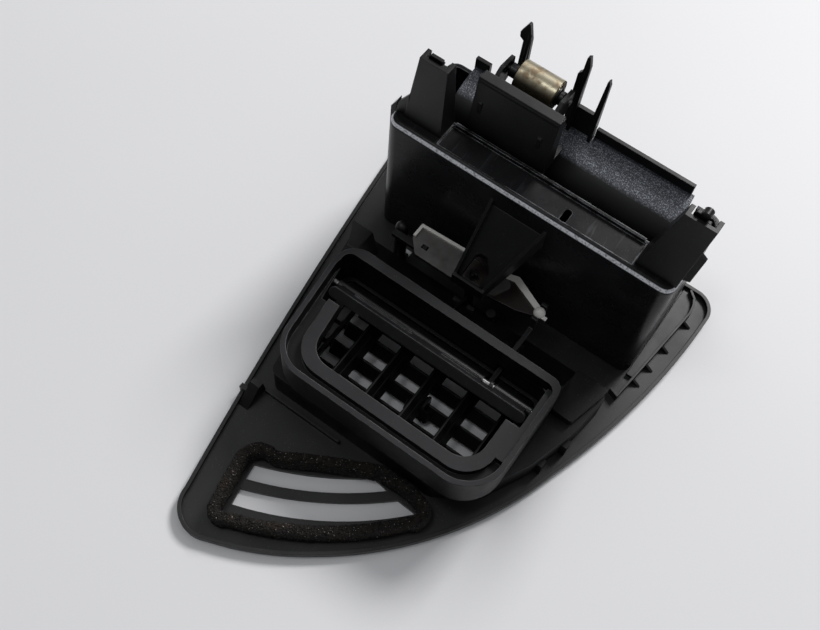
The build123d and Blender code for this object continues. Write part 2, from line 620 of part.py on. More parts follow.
def latch_block():
    """Housing of the strip spring, hooked on behind the top strip."""
    lean = 5.0
    y0, y1, low, top = STRIP_Y, STRIP_Y + 2.4, 80, 119.6
    front = side_plate([(y0, low), (y1, low), (y1 + lean, top), (y0 + lean, top)], (-27.5, 14.7))
    lip = block((-27, 14.2), (y0 + lean - 0.6, y1 + lean + 3.2), (top - 3.2, top))
    lip = fillet(lip.edges().filter_by(Axis.X), 1.2)
    floor = block((-27.5, 14.7), (y1 - 0.4, 74), (86.5, 88.5))
    sides = []
    for x in (-27.5, 12.7):
        sides.append(side_plate([(y1, 87), (66, 87), (66, top - 1), (y1 + lean, top - 1)], (x, x + 2)))
    for x in (-24.6, 7.0):
        outline = [(y1, 88), (y1, 106), (74, 116.5), (84, 115), (84.5, 107), (74, 101), (74, 88)]
        sides.append(side_plate(outline, (x, x + 2)))
    block_part = front + lip + floor
    for side in sides:
        block_part += side
    block_part -= rod_x((-40, 20), COIL_Y, COIL_Z, AXLE_R)
    return block_part


def spring_axle():
    return rod_x((-25.4, 9.8), COIL_Y, COIL_Z, AXLE_R)


def spring_drum():
    drum = rod_x((COIL_X[0] + 0.4, COIL_X[1] - 0.4), COIL_Y, COIL_Z, COIL_R - COIL_WALL - 0.02)
    drum += rod_x((COIL_X[0] - 5, COIL_X[1] + 3.2), COIL_Y, COIL_Z, 3.4)
    return drum - rod_x((-40, 20), COIL_Y, COIL_Z, AXLE_R + RUNNING)


def spring_coil():
    outer = rod_x(COIL_X, COIL_Y, COIL_Z, COIL_R)
    return outer - rod_x((-40, 20), COIL_Y, COIL_Z, COIL_R - COIL_WALL)


def spring_strip():
    """The strip's free end, hooked into the housing floor."""
    y = COIL_Y - COIL_R - 0.6
    return block((COIL_X[0] + 1, COIL_X[1] - 1), (y - 0.35, y), (88.5, COIL_Z - 2))


def bin_profile(inset, bottom):
    y0, y1 = BIN_Y[0] + inset, BIN_Y[1] - inset
    r = BIN_RADIUS - inset
    top = BOX_TOP - inset
    turn = sin(radians(45))
    centre = (BIN_Y[1] - 2, BOX_TOP - BIN_RADIUS)
    edges = [
        Line((0, y0, bottom), (0, y0, centre[1])),
        ThreePointArc((0, y0, centre[1]), (0, centre[0] - r * turn, centre[1] + r * turn),
                      (0, centre[0], top)),
        Line((0, centre[0], top), (0, y1, top)),
        Line((0, y1, top), (0, y1, bottom)),
        Line((0, y1, bottom), (0, y0, bottom)),
    ]
    return make_face(edges)


def pocket_bin():
    thick = 1.9
    outer = Pos(BIN_X[0], 0, 0) * extrude(bin_profile(0, PLATE), amount=BIN_X[1] - BIN_X[0], dir=(1, 0, 0))
    inner = Pos(BIN_X[0] + thick, 0, 0) * extrude(bin_profile(thick, PLATE + thick),
                                                  amount=BIN_X[1] - BIN_X[0] - 2 * thick, dir=(1, 0, 0))
    shell = outer - inner
    # the pocket opens sideways once it is pulled out
    shell -= block((BIN_X[0] + 8, BIN_X[1] - 8), (BIN_Y[0] - 1, BIN_Y[0] + 4), (12, 50))
    for xs in ((BIN_X[0], NOTCH_X[0]), (NOTCH_X[1], BIN_X[1] - 1.5)):
        shell += block(xs, (BIN_Y[1] - 2, BIN_Y[1]), (BOX_TOP - 1, RIDGE_TOP))
    return shell


def pocket_front():
    plate = block((BIN_X[0] - 2, BIN_X[1] + 2), (BIN_Y[0] - 1.5, BIN_Y[1] + 2.5), (0.2, PLATE))
    grip = block((4, 28), (BIN_Y[0] - 0.5, BIN_Y[0] + 4), (-1, 1.4))
    return fillet(plate.edges().filter_by(Axis.Z), 1.5) - grip


def stop_prong():
    """Barbed arm that stops the pocket at the end of its travel."""
    ys = (BIN_Y[1] - 2, BIN_Y[1])
    arm = front_plate([(-23, BOX_TOP), (-18, BOX_TOP), (-18.5, 124), (-20.5, 133), (-21.6, 133),
                       (-24.6, 126.5), (-24.4, 123.5), (-22.4, 122)], ys)
    rib = side_plate([(ys[0] - 3.5, BOX_TOP - 1), (ys[0], BOX_TOP - 1), (ys[0], 128), (ys[0] - 1, 120)],
                     (-20.4, -18.8))
    return arm + rib - block((-40, 0), (0, BIN_Y[1] - 2), (0, BOX_TOP))


def guide_prongs():
    ys = (BIN_Y[1] - 2, BIN_Y[1])
    left = front_plate([(6, BOX_TOP), (11, BOX_TOP), (11.2, 128), (10, 134), (8.6, 133), (8.2, 124),
                        (6.4, 121.5)], ys)
    right = front_plate([(18.4, BOX_TOP), (22.4, BOX_TOP), (22.2, 124), (21.4, 127), (20.6, 126)], ys)
    web = block((10, 20), ys, (BOX_TOP, 102))
    left += side_plate([(ys[0] - 3, BOX_TOP), (ys[0], BOX_TOP), (ys[0], 126)], (9.4, 11))
    right += side_plate([(ys[0] - 3, BOX_TOP), (ys[0], BOX_TOP), (ys[0], 118)], (20.8, 22.4))
    return left + right + web


# ---- assembly -------------------------------------------------------------------
def build():
    nodes = {
        "fascia": fascia(),
        "demister_foam_seal": demister_seal(),
        "vent_body": vent_body(),
        "inlet_collar": collar(),
        "vane_frame": vane_frame(),
        "rear_vane_link": rear_link(),
        "front_vane_link": front_link(),
        "direction_knob": slider_knob(),
        "damper_flap": damper_flap(),
        "damper_shaft": flap_shaft(),
        "damper_crank": flap_crank(),
        "damper_push_rod": push_rod(),
        "rocker_lever": rocker_lever(),
        "lever_pivot_pin": lever_pin(),
        "lever_bracket": lever_bracket(),
        "shutoff_slider": shutoff_slider(),
        "pocket_housing": pocket_housing(),
        "left_clip_tower": left_tower(),
        "right_clip_tower": right_tower(),
        "left_snap_tongue": snap_tongue(-47.6, -38.4, 50, 129.5, False),
        "right_snap_tongue": snap_tongue(82.8, 91, 49.4, 132, True),
        "spring_housing": latch_block(),
        "spring_axle": spring_axle(),
        "spring_drum": spring_drum(),
        "spring_coil": spring_coil(),
        "spring_strip": spring_strip(),
        "pocket_bin": pocket_bin(),
        "pocket_front": pocket_front(),
        "stop_prong": stop_prong(),
        "guide_prongs": guide_prongs(),
    }
    for index in range(REAR_VANE_COUNT):
        nodes[f"rear_vane_{index + 1}"] = rear_vane(index)
    for index in range(FRONT_VANE_COUNT):
        nodes[f"front_vane_{index + 1}"] = front_vane(index)
    return nodes


def base_middle(nodes):
    """Middle of the whole object's base, in the working frame."""
    boxes = [part.bounding_box() for part in nodes.values()]
    low_x = min(b.min.X for b in boxes)
    high_x = max(b.max.X for b in boxes)
    low_y = min(b.min.Y for b in boxes)
    high_y = max(b.max.Y for b in boxes)
    low_z = min(b.min.Z for b in boxes)
    return ((low_x + high_x) / 2, (low_y + high_y) / 2, low_z)


def write(nodes, middle):
    os.makedirs("parts", exist_ok=True)
    for name, part in nodes.items():
        placed = Pos(-middle[0], -middle[1], -middle[2]) * part
        export_step(placed, f"parts/{name}.step")


NODES = build()
MIDDLE = base_middle(NODES)
write(NODES, MIDDLE)
print("working frame point moved to the origin:", MIDDLE)
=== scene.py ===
"""Looks of a car dashboard side air vent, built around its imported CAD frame."""

import math

import bpy
import bmesh
from mathutils import Matrix, Vector


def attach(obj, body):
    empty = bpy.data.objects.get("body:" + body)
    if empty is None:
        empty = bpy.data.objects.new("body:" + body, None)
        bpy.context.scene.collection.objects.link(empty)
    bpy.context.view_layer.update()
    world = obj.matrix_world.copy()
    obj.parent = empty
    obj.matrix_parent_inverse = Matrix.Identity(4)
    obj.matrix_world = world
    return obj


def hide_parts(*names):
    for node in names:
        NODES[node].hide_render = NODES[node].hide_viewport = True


# ---- frame ----------------------------------------------------------------
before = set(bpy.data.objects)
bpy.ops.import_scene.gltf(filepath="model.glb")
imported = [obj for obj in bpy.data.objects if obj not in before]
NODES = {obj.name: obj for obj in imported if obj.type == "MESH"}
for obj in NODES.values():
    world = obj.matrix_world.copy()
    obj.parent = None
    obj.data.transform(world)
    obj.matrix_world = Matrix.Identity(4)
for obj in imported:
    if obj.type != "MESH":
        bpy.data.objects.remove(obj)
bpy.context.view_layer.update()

# The CAD's working frame, in millimetres, has this point at the row frame's origin.
MIDDLE = (15.907, -25.0932, 0.0)


def at(x, y, z):
    """A working-frame point in millimetres, as metres in the row frame."""
    return Vector(((x - MIDDLE[0]) / 1000, (y - MIDDLE[1]) / 1000, (z - MIDDLE[2]) / 1000))


# ---- materials ------------------------------------------------------------
class Tree:
    """Small helper that adds and links shader nodes."""

    def __init__(self, name):
        self.material = bpy.data.materials.new(name)
        self.material.use_nodes = True
        self.tree = self.material.node_tree
        self.shader = self.tree.nodes["Principled BSDF"]
        coord = self.tree.nodes.new("ShaderNodeTexCoord")
        self.place = coord.outputs["Object"]

    def add(self, kind, inputs=None, **settings):
        node = self.tree.nodes.new(kind)
        for key, value in settings.items():
            setattr(node, key, value)
        for key, value in (inputs or {}).items():
            self.put(node, key, value)
        return node

    def put(self, node, key, value):
        if isinstance(value, bpy.types.NodeSocket):
            self.tree.links.new(value, node.inputs[key])
        else:
            node.inputs[key].default_value = value

    def noise(self, scale, detail=3.0, rough=0.55, stretch=None, distort=0.0):
        place = self.place
        if stretch:
            mapping = self.add("ShaderNodeMapping", {"Vector": place, "Scale": stretch})
            place = mapping.outputs["Vector"]
        node = self.add("ShaderNodeTexNoise", {"Vector": place, "Scale": scale, "Detail": detail,
                                               "Roughness": rough, "Distortion": distort})
        return node.outputs["Fac"]

    def height(self):
        return self.add("ShaderNodeSeparateXYZ", {"Vector": self.place}).outputs["Z"]

    def band(self, value, low, high, soft):
        """1 where the value lies between low and high."""
        return self.math("MULTIPLY", self.span(value, low - soft, low),
                         self.span(value, high, high + soft, 1.0, 0.0))

    def cells(self, scale, feature="F1"):
        node = self.add("ShaderNodeTexVoronoi", {"Vector": self.place, "Scale": scale}, feature=feature)
        return node.outputs["Distance"]

    def span(self, value, low, high, out_low=0.0, out_high=1.0):
        node = self.add("ShaderNodeMapRange", {"Value": value, "From Min": low, "From Max": high,
                                               "To Min": out_low, "To Max": out_high})
        return node.outputs["Result"]

    def math(self, operation, a, b):
        node = self.add("ShaderNodeMath", {0: a, 1: b}, operation=operation)
        return node.outputs[0]

    def mix(self, amount, a, b):
        node = self.add("ShaderNodeMix", data_type="RGBA")
        for index, value in ((0, amount), (6, a), (7, b)):
            if isinstance(value, bpy.types.NodeSocket):
                self.tree.links.new(value, node.inputs[index])
            else:
                node.inputs[index].default_value = value
        return node.outputs[2]

    def bump(self, height, strength, distance, normal=None):
        inputs = {"Height": height, "Strength": strength, "Distance": distance}
        if normal is not None:
            inputs["Normal"] = normal
        return self.add("ShaderNodeBump", inputs).outputs["Normal"]

    def edge(self, radius):
        """Rounded normal, and a mask that is 1 along sharp edges."""
        bevel = self.add("ShaderNodeBevel", {"Radius": radius}, samples=6)
        geometry = self.add("ShaderNodeNewGeometry")
        turn = self.add("ShaderNodeVectorMath", {0: bevel.outputs["Normal"], 1: geometry.outputs["Normal"]},
                        operation="DOT_PRODUCT")
        return bevel.outputs["Normal"], self.span(turn.outputs["Value"], 0.99, 0.8)


def rgba(color):
    return (*color, 1.0)


VARIATION = 0.35            # share by which a plastic's colour drifts each way
GRAIN_DEPTH = 0.00003       # metres, the fine texture of moulded plastic
GRAIN_STRENGTH = 0.5


def plastic(name, color, rough, grain=2600.0, edge=0.00035, edge_rub_and_highlight_color=None, edge_rub_and_highlight=0.5, dust=0.0,
            scratches_and_bead_highlight=0.0, scuff_and_highlight_height=0.0, gloss=0.3, painted_top_light=None):
    """Moulded plastic: fine texture, uneven sheen, pale edges, dust and scuffs.

    The pale edges are partly rubbed wear and partly painted highlight. Scuffs, and a painted highlight band
    along rounded edges, lie only above the scuff height, in metres. The last argument is a height in metres
    and the colour of painted light on the faces that look up above it.
    """
    t = Tree(name)
    rounded, rim = t.edge(edge)
    light = tuple(min(1.0, c * (1 + VARIATION) + 0.0005) for c in color)
    dark = tuple(c * (1 - VARIATION) for c in color)
    patch = t.span(t.noise(22.0, 4.0), 0.35, 0.65)
    base = t.mix(patch, rgba(dark), rgba(light))
    geometry = t.add("ShaderNodeNewGeometry")
    facing = t.add("ShaderNodeSeparateXYZ", {"Vector": geometry.outputs["Normal"]}).outputs["Z"]
    # Painted light: faces that look up above the given height take a paler colour, as if lit from above.
    if painted_top_light:
        level, painted_top_color = painted_top_light
        up = t.math("MULTIPLY", t.span(facing, 0.5, 0.8), t.span(t.height(), level, level + 0.0003))
        base = t.mix(t.math("MULTIPLY", up, t.span(patch, 0.0, 1.0, 0.75, 1.0)), base, rgba(painted_top_color))
    # Pale edges: partly rubbed wear, partly a painted highlight along the sharp edges.
    pale_edge = t.math("MULTIPLY", rim, t.span(t.noise(160.0, 4.0, 0.65), 0.38, 0.60, 0.0, edge_rub_and_highlight))
    base = t.mix(pale_edge, base, rgba(edge_rub_and_highlight_color or tuple(min(1, c * 5 + 0.015) for c in color)))
    roughness = t.span(t.noise(60.0, 5.0, 0.6), 0.25, 0.75, rough - 0.07, rough + 0.09)
    if dust:
        speck = t.span(t.noise(1900.0, 1.0, 0.4), 0.735, 0.79, 0.0, dust)
        haze = t.span(t.noise(45.0, 6.0, 0.7), 0.5, 0.8, 0.0, dust * 0.05)
        base = t.mix(t.math("MAXIMUM", speck, haze), base, (0.42, 0.42, 0.40, 1))
    height = t.noise(grain, 2.0, 0.6)
    # Scuffs are real wear; this block also paints a highlight band on the rounded edges.
    if scratches_and_bead_highlight:
        lines = t.span(t.noise(38.0, 3.0, 0.5, stretch=(9.0, 0.6, 0.8), distort=1.2), 0.60, 0.63)
        patchy = t.span(t.noise(30.0, 2.0), 0.5, 0.66)
        above = t.span(t.height(), scuff_and_highlight_height - 0.001, scuff_and_highlight_height)
        scuff = t.math("MULTIPLY", t.math("MULTIPLY", lines, patchy), t.math("MULTIPLY", above, scratches_and_bead_highlight))
        base = t.mix(scuff, base, (0.30, 0.31, 0.33, 1))
        # Painted highlight: a pale band on rounded edges that face part-way up, above the scuff height.
        bead_highlight = t.math("MULTIPLY", t.band(facing, 0.36, 0.74, 0.08), above)
        bead_highlight = t.math("MULTIPLY", bead_highlight, t.span(t.noise(900.0, 4.0, 0.7), 0.30, 0.52, 0.15, 1.0))
        base = t.mix(bead_highlight, base, (0.74, 0.76, 0.80, 1))
        roughness = t.math("ADD", roughness, t.math("MULTIPLY", scuff, 0.25))
    t.put(t.shader, "Base Color", base)
    t.put(t.shader, "Roughness", roughness)
    t.put(t.shader, "Normal", t.bump(height, GRAIN_STRENGTH, GRAIN_DEPTH, rounded))
    t.put(t.shader, "Specular IOR Level", gloss)
    return t.material


def grained_plastic(name, low, high):
    """Smooth near-black moulding with a coarse grain between two heights, in metres, coloured there as a pale
    speckled painted sheen.
    """
    t = Tree(name)
    rounded, rim = t.edge(0.0005)
    grain_and_sheen_zone = t.band(t.height(), low, high, 0.0012)
    cell = t.cells(1500.0, "SMOOTH_F1")
    pebble = t.span(cell, 0.1, 0.7, 1.0, 0.0)
    grain = t.math("ADD", pebble, t.math("MULTIPLY", t.noise(3200.0, 3.0, 0.6), 0.5))
    # Painted highlight: a pale speckled sheen with painted glints, only inside the grained zone.
    painted_glint = t.span(t.noise(1700.0, 2.0, 0.6), 0.50, 0.66)
    painted_sheen = t.mix(painted_glint, (0.058, 0.062, 0.073, 1), (0.330, 0.352, 0.400, 1))
    base = t.mix(grain_and_sheen_zone, (0.0032, 0.0033, 0.0038, 1), painted_sheen)
    pale_edge = t.math("MULTIPLY", rim, t.span(t.noise(180.0, 4.0, 0.65), 0.45, 0.65, 0.0, 0.5))
    base = t.mix(pale_edge, base, (0.12, 0.125, 0.13, 1))
    t.put(t.shader, "Base Color", base)
    t.put(t.shader, "Roughness", t.span(t.noise(70.0, 4.0), 0.3, 0.7, 0.34, 0.46))
    t.put(t.shader, "Specular IOR Level", 0.25)
    t.put(t.shader, "Normal", t.bump(t.math("MULTIPLY", grain, grain_and_sheen_zone), 0.8, 0.00012, rounded))
    return t.material


def metal(name, color, rough, stain, lines=(1.0, 1.0, 1.0)):
    """Rolled or drawn metal with fine lines and a warm stain."""
    t = Tree(name)
    rounded, rim = t.edge(0.0002)
    patch = t.span(t.noise(190.0, 5.0, 0.65), 0.42, 0.62)
    streak = t.noise(900.0, 3.0, 0.6, stretch=lines)
    base = t.mix(patch, rgba(color), rgba(stain))
    base = t.mix(t.span(streak, 0.55, 0.75, 0.0, 0.35), base, rgba(tuple(c * 0.45 for c in stain)))
    t.put(t.shader, "Base Color", base)
    t.put(t.shader, "Metallic", 1.0)
    t.put(t.shader, "Roughness", t.span(patch, 0.0, 1.0, rough, rough + 0.14))
    t.put(t.shader, "Normal", t.bump(streak, 0.35, 0.00003, rounded))
    return t.material


def lever_material(name):
    """Natural acetal, pale on the raised rims; below them the plate and thin web, and the part under the
    bracket, are painted darker as shade.
    """
    t = Tree(name)
    rounded, rim = t.edge(0.0003)
    split = t.add("ShaderNodeSeparateXYZ", {"Vector": t.place})
    height, along = split.outputs["Z"], split.outputs["X"]
    cloud = t.span(t.noise(70.0, 3.0, 0.6), 0.35, 0.7)
    shaded_plate = t.mix(cloud, (0.060, 0.055, 0.052, 1), (0.130, 0.124, 0.120, 1))
    shaded_web = t.mix(cloud, (0.008, 0.005, 0.004, 1), (0.018, 0.012, 0.009, 1))
    # Painted shade: below the rims the same acetal is painted grey, and darker still in the thin web.
    base = t.mix(t.span(height, 0.0349, 0.0351), shaded_web, shaded_plate)
    base = t.mix(t.span(height, 0.0361, 0.0363), base, (0.72, 0.71, 0.67, 1))
    # Painted shade: the part under the bracket takes the dark web colour.
    base = t.mix(t.band(along, -0.0135, 0.001, 0.001), base, shaded_web)
    base = t.mix(t.math("MULTIPLY", rim, 0.25), base, (0.5, 0.5, 0.46, 1))
    t.put(t.shader, "Base Color", base)
    t.put(t.shader, "Roughness", t.span(cloud, 0.0, 1.0, 0.36, 0.48))
    t.put(t.shader, "Normal", t.bump(t.noise(1800.0, 2.0), 0.3, 0.00003, rounded))
    return t.material


def foam_material(name):
    """Open-cell foam: dark brown, pitted, with pale specks."""
    t = Tree(name)
    pits = t.cells(1150.0)
    mottle = t.span(t.noise(420.0, 4.0, 0.7), 0.38, 0.68)
    base = t.mix(mottle, (0.005, 0.0045, 0.004, 1), (0.026, 0.0225, 0.020, 1))
    rust = t.span(t.noise(85.0, 4.0, 0.6), 0.48, 0.72, 0.0, 0.7)
    base = t.mix(rust, base, (0.026, 0.019, 0.014, 1))
    speck = t.span(t.noise(1500.0, 1.0, 0.4), 0.70, 0.75, 0.0, 0.9)
    base = t.mix(speck, base, (0.40, 0.38, 0.34, 1))
    t.put(t.shader, "Base Color", base)
    t.put(t.shader, "Roughness", t.span(mottle, 0.0, 1.0, 0.78, 0.95))
    t.put(t.shader, "Specular IOR Level", 0.25)
    height = t.math("ADD", t.math("MULTIPLY", pits, 1.2), t.noise(700.0, 4.0, 0.7))
    t.put(t.shader, "Normal", t.bump(height, 1.0, 0.0009))
    return t.material


FASCIA = plastic("fascia_plastic", (0.0060, 0.0060, 0.0068), 0.42, grain=3000, edge_rub_and_highlight=0.3, dust=0.2, gloss=0.38)
BODY = plastic("body_plastic", (0.0032, 0.0032, 0.0037), 0.44, dust=0.2, edge_rub_and_highlight=0.5, edge=0.0005, gloss=0.22)
# Collar: its pale rim edges are partly painted highlight, and its upward faces above 42 mm carry painted
# light.
COLLAR = plastic("collar_plastic", (0.0036, 0.0037, 0.0042), 0.46, dust=0.2, edge_rub_and_highlight=0.9, edge=0.0006,
                 gloss=0.22, edge_rub_and_highlight_color=(0.15, 0.152, 0.16), painted_top_light=(0.0420, (0.020, 0.0203, 0.0222)))
VANE = plastic("vane_plastic", (0.0035, 0.0035, 0.0039), 0.40, edge_rub_and_highlight=0.3, dust=0.1, gloss=0.25)
# Flap: the pale colour along its lip edges is partly painted highlight.
FLAP = plastic("flap_plastic", (0.0085, 0.0086, 0.0095), 0.38, edge_rub_and_highlight=0.9, dust=0.2, edge=0.0009, gloss=0.3,
               edge_rub_and_highlight_color=(0.09, 0.092, 0.098))
# Housing: its pale edges are partly painted highlight, and above the scuff height a painted highlight band
# runs along the top front edge.
HOUSING = plastic("housing_plastic", (0.0105, 0.0107, 0.0119), 0.27, edge_rub_and_highlight=1.0, dust=0.15, scratches_and_bead_highlight=0.07,
                  scuff_and_highlight_height=0.0840, edge=0.0009, edge_rub_and_highlight_color=(0.30, 0.31, 0.325), gloss=0.12)
TOWER = plastic("tower_plastic", (0.0050, 0.0052, 0.0058), 0.40, edge_rub_and_highlight=0.5, dust=0.15, edge=0.0005, gloss=0.3)
PRONG = plastic("prong_plastic", (0.0055, 0.0057, 0.0063), 0.38, edge_rub_and_highlight=0.5, dust=0.1, edge=0.0004, gloss=0.35)
LEVER = lever_material("white_plastic")
GRAIN = grained_plastic("grained_plastic", 0.0842, 0.0882)
SPRING = metal("spring_steel", (0.38, 0.345, 0.255), 0.33, (0.19, 0.145, 0.095), (1.0, 7.0, 7.0))
AXLE = metal("axle_steel", (0.24, 0.24, 0.25), 0.34, (0.14, 0.14, 0.135), (0.2, 4.0, 4.0))
FOAM = foam_material("foam")


def paint(material, *names):
    for name in names:
        slots = NODES[name].data.materials
        slots.clear()
        slots.append(material)


paint(FASCIA, "fascia")
paint(BODY, "vent_body", "vane_frame")
paint(COLLAR, "inlet_collar")
paint(VANE, *[n for n in NODES if n.startswith(("rear_vane", "front_vane"))])
paint(FLAP, "damper_flap", "damper_crank", "damper_push_rod")
paint(AXLE, "damper_shaft", "spring_axle")
paint(LEVER, "rocker_lever")
paint(TOWER, "lever_pivot_pin", "lever_bracket", "left_clip_tower", "right_clip_tower",
      "left_snap_tongue", "right_snap_tongue", "spring_housing")
paint(HOUSING, "pocket_housing")
paint(PRONG, "stop_prong", "guide_prongs", "shutoff_slider", "spring_drum")
paint(GRAIN, "pocket_bin", "pocket_front", "direction_knob")
paint(SPRING, "spring_strip", "spring_coil")
paint(FOAM, "demister_foam_seal")


# ---- mesh helpers ---------------------------------------------------------
def closed_mesh(bm, name):
    """The built faces as a mesh, with their normals outwards."""
    bmesh.ops.recalc_face_normals(bm, faces=bm.faces)
    mesh = bpy.data.meshes.new(name)
    bm.to_mesh(mesh)
    bm.free()
    return mesh


def make_object(name, mesh, material, body):
    piece = bpy.data.objects.new(name, mesh)
    bpy.context.scene.collection.objects.link(piece)
    mesh.materials.append(material)
    for polygon in mesh.polygons:
        polygon.use_smooth = True
    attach(piece, body)
    return piece


def arc(start, via, end, steps):
    """Points of the circle arc from start through via, without its end."""
    ax, ay = start
    bx, by = via
    cx, cy = end
    d = 2 * (ax * (by - cy) + bx * (cy - ay) + cx * (ay - by))
    a_square, b_square, c_square = ax * ax + ay * ay, bx * bx + by * by, cx * cx + cy * cy
    ux = (a_square * (by - cy) + b_square * (cy - ay) + c_square * (ay - by)) / d
    uy = (a_square * (cx - bx) + b_square * (ax - cx) + c_square * (bx - ax)) / d
    radius = math.hypot(ax - ux, ay - uy)
    a0 = math.atan2(ay - uy, ax - ux)
    a1 = math.atan2(by - uy, bx - ux)
    a2 = math.atan2(cy - uy, cx - ux)
    turn = (a2 - a0) % (2 * math.pi)
    if (a1 - a0) % (2 * math.pi) > turn:
        turn -= 2 * math.pi
    return [(ux + radius * math.cos(a0 + turn * i / steps), uy + radius * math.sin(a0 + turn * i / steps))
            for i in range(steps)]


def resample(points, pitch):
    """A closed outline, as evenly spaced points."""
    closed = points + [points[0]]
    lengths = [math.dist(a, b) for a, b in zip(closed, closed[1:])]
    total = sum(lengths)
    count = round(total / pitch)
    found, walked, index = [], 0.0, 0
    for i in range(count):
        target = total * i / count
        while walked + lengths[index] < target:
            walked += lengths[index]
            index += 1
        share = (target - walked) / lengths[index]
        a, b = closed[index], closed[index + 1]
        found.append((a[0] + (b[0] - a[0]) * share, a[1] + (b[1] - a[1]) * share))
    return found


# ---- foam seal ------------------------------------------------------------
SEAL_ARCS = [
    ((-33, -112), (-30.5, -124.5), (-28, -136.9)),
    ((-28, -136.9), (-24, -142), (-16, -140.5)),
    ((-16, -140.5), (25, -118.5), (53, -92)),
    ((53, -92), (57.5, -83), (52, -76.8)),
    ((52, -76.8), (46, -75), (36, -74.8)),
    ((36, -74.8), (30.5, -75.0), (25, -75.5)),
    ((25, -75.5), (6, -85), (-18, -99)),
    ((-18, -99), (-30, -103), (-33, -112)),
]
SEAL_LOW = 2.45             # millimetres, where the foam sits on the panel
SEAL_HALF = 2.95            # half the foam's width
SEAL_PITCH = 1.6            # between sections along the ring


def seal_section():
    """Half-rounded section of the foam: (inward, height) pairs round the ring."""
    rim = [(-1, SEAL_LOW), (-1, 5.0), (-1.02, 8.0), (-0.98, 10.4), (-0.8, 11.8), (-0.42, 12.3), (0, 12.35),
           (0.42, 12.25), (0.8, 11.7), (0.98, 10.2), (1.02, 8.0), (1, 5.0), (1, SEAL_LOW)]
    return [(side * SEAL_HALF, height) for side, height in rim]


def foam_seal():
    outline = []
    for start, via, end in SEAL_ARCS:
        outline += arc(start, via, end, 24)
    outline = resample(outline, SEAL_PITCH)
    count = len(outline)
    section = seal_section()
    bm = bmesh.new()
    rings = []
    for i, (x, y) in enumerate(outline):
        before, after = outline[i - 3], outline[(i + 3) % count]
        run = Vector((after[0] - before[0], after[1] - before[1])).normalized()
        inward = Vector((-run.y, run.x))
        wave = 0.22 * math.sin(i * 0.31) + 0.16 * math.sin(i * 0.83 + 1)
        ring = []
        for side, height in section:
            step = SEAL_HALF + side * (1 + 0.03 * math.sin(i * 0.5 + height))
            lift = wave * (height - SEAL_LOW) / 10 * 0.8
            place = at(x + inward.x * step, y + inward.y * step, height + lift - 0.1 * abs(lift))
            ring.append(bm.verts.new(place))
        rings.append(ring)
    for i in range(count):
        a, b = rings[i], rings[(i + 1) % count]
        for k in range(len(section)):
            m = (k + 1) % len(section)
            bm.faces.new((a[k], a[m], b[m], b[k]))
    piece = make_object("foam_seal", closed_mesh(bm, "foam_seal"), FOAM, "panel")
    modify(piece, "REMESH", mode="VOXEL", voxel_size=0.0008)
    texture = bpy.data.textures.new("foam_lumps", "CLOUDS")
    texture.noise_scale = 0.0022
    texture.noise_depth = 2
    modify(piece, "DISPLACE", texture=texture, strength=0.0012, mid_level=0.52)
    cells = bpy.data.textures.new("foam_cells", "VORONOI")
    cells.noise_scale = 0.0011
    modify(piece, "DISPLACE", texture=cells, strength=0.0006, mid_level=0.5)
    smooth(piece)
    keep_inside(piece)
    return piece


def modify(piece, kind, **settings):
    """Adds a modifier and applies it at once."""
    modifier = piece.modifiers.new(kind.lower(), kind)
    for key, value in settings.items():
        setattr(modifier, key, value)
    bpy.context.view_layer.update()
    graph = bpy.context.evaluated_depsgraph_get()
    mesh = bpy.data.meshes.new_from_object(piece.evaluated_get(graph))
    materials = list(piece.data.materials)
    piece.modifiers.clear()
    piece.data = mesh
    mesh.materials.clear()
    for material in materials:
        mesh.materials.append(material)


def smooth(piece):
    for polygon in piece.data.polygons:
        polygon.use_smooth = True


def keep_inside(piece):
    """Keeps the foam's base on the panel."""
    floor = at(0, 0, SEAL_LOW).z
    for vertex in piece.data.vertices:
        vertex.co.z = max(vertex.co.z, floor)


seal = foam_seal()
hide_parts("demister_foam_seal")


# ---- spring roll ----------------------------------------------------------
ROLL_Y, ROLL_Z = 80.0, 111.0    # the axle, in working-frame millimetres
ROLL_INNER, ROLL_WALL = 3.7, 4.2
SHARP = math.radians(35)
HUB_SIDES = 48
HUB = [(-21.8, 1.6), (-21.8, 3.0), (-21.5, 3.35), (-18.2, 3.35), (-17.6, 4.6), (-17.0, 4.7), (-16.9, 3.45),
       (3.3, 3.45), (3.4, 4.7), (4.0, 4.6), (4.4, 3.35), (6.1, 3.35), (6.4, 3.0), (6.4, 1.6)]


def spring_roll():
    """The strip's coiled turns, loosely wound on the hub."""
    x0, x1 = -16.7, 3.1
    turns, steps, gauge = 6.6, 84, 0.14
    bm = bmesh.new()
    total = int(turns * steps)
    rows = []
    for i in range(total + 1):
        turn = i / steps
        radius = ROLL_INNER + ROLL_WALL * turn / turns
        angle = turn * 2 * math.pi
        wave = 0.12 * math.sin(turn * 2.1)
        row = []
        for r in (radius - gauge, radius):
            for x in (x0 + wave * 0.4, x1 + wave):
                row.append(bm.verts.new(at(x, ROLL_Y + r * math.cos(angle), ROLL_Z + r * math.sin(angle))))
        rows.append(row)
    for a, b in zip(rows, rows[1:]):
        for k, m in ((0, 1), (1, 3), (3, 2), (2, 0)):
            bm.faces.new((a[k], a[m], b[m], b[k]))
    for row in (rows[0], rows[-1]):
        bm.faces.new((row[0], row[1], row[3], row[2]))
    mesh = closed_mesh(bm, "spring_turns")
    piece = make_object("spring_turns", mesh, SPRING, "spring_roll")
    mesh.set_sharp_from_angle(angle=SHARP)
    return piece


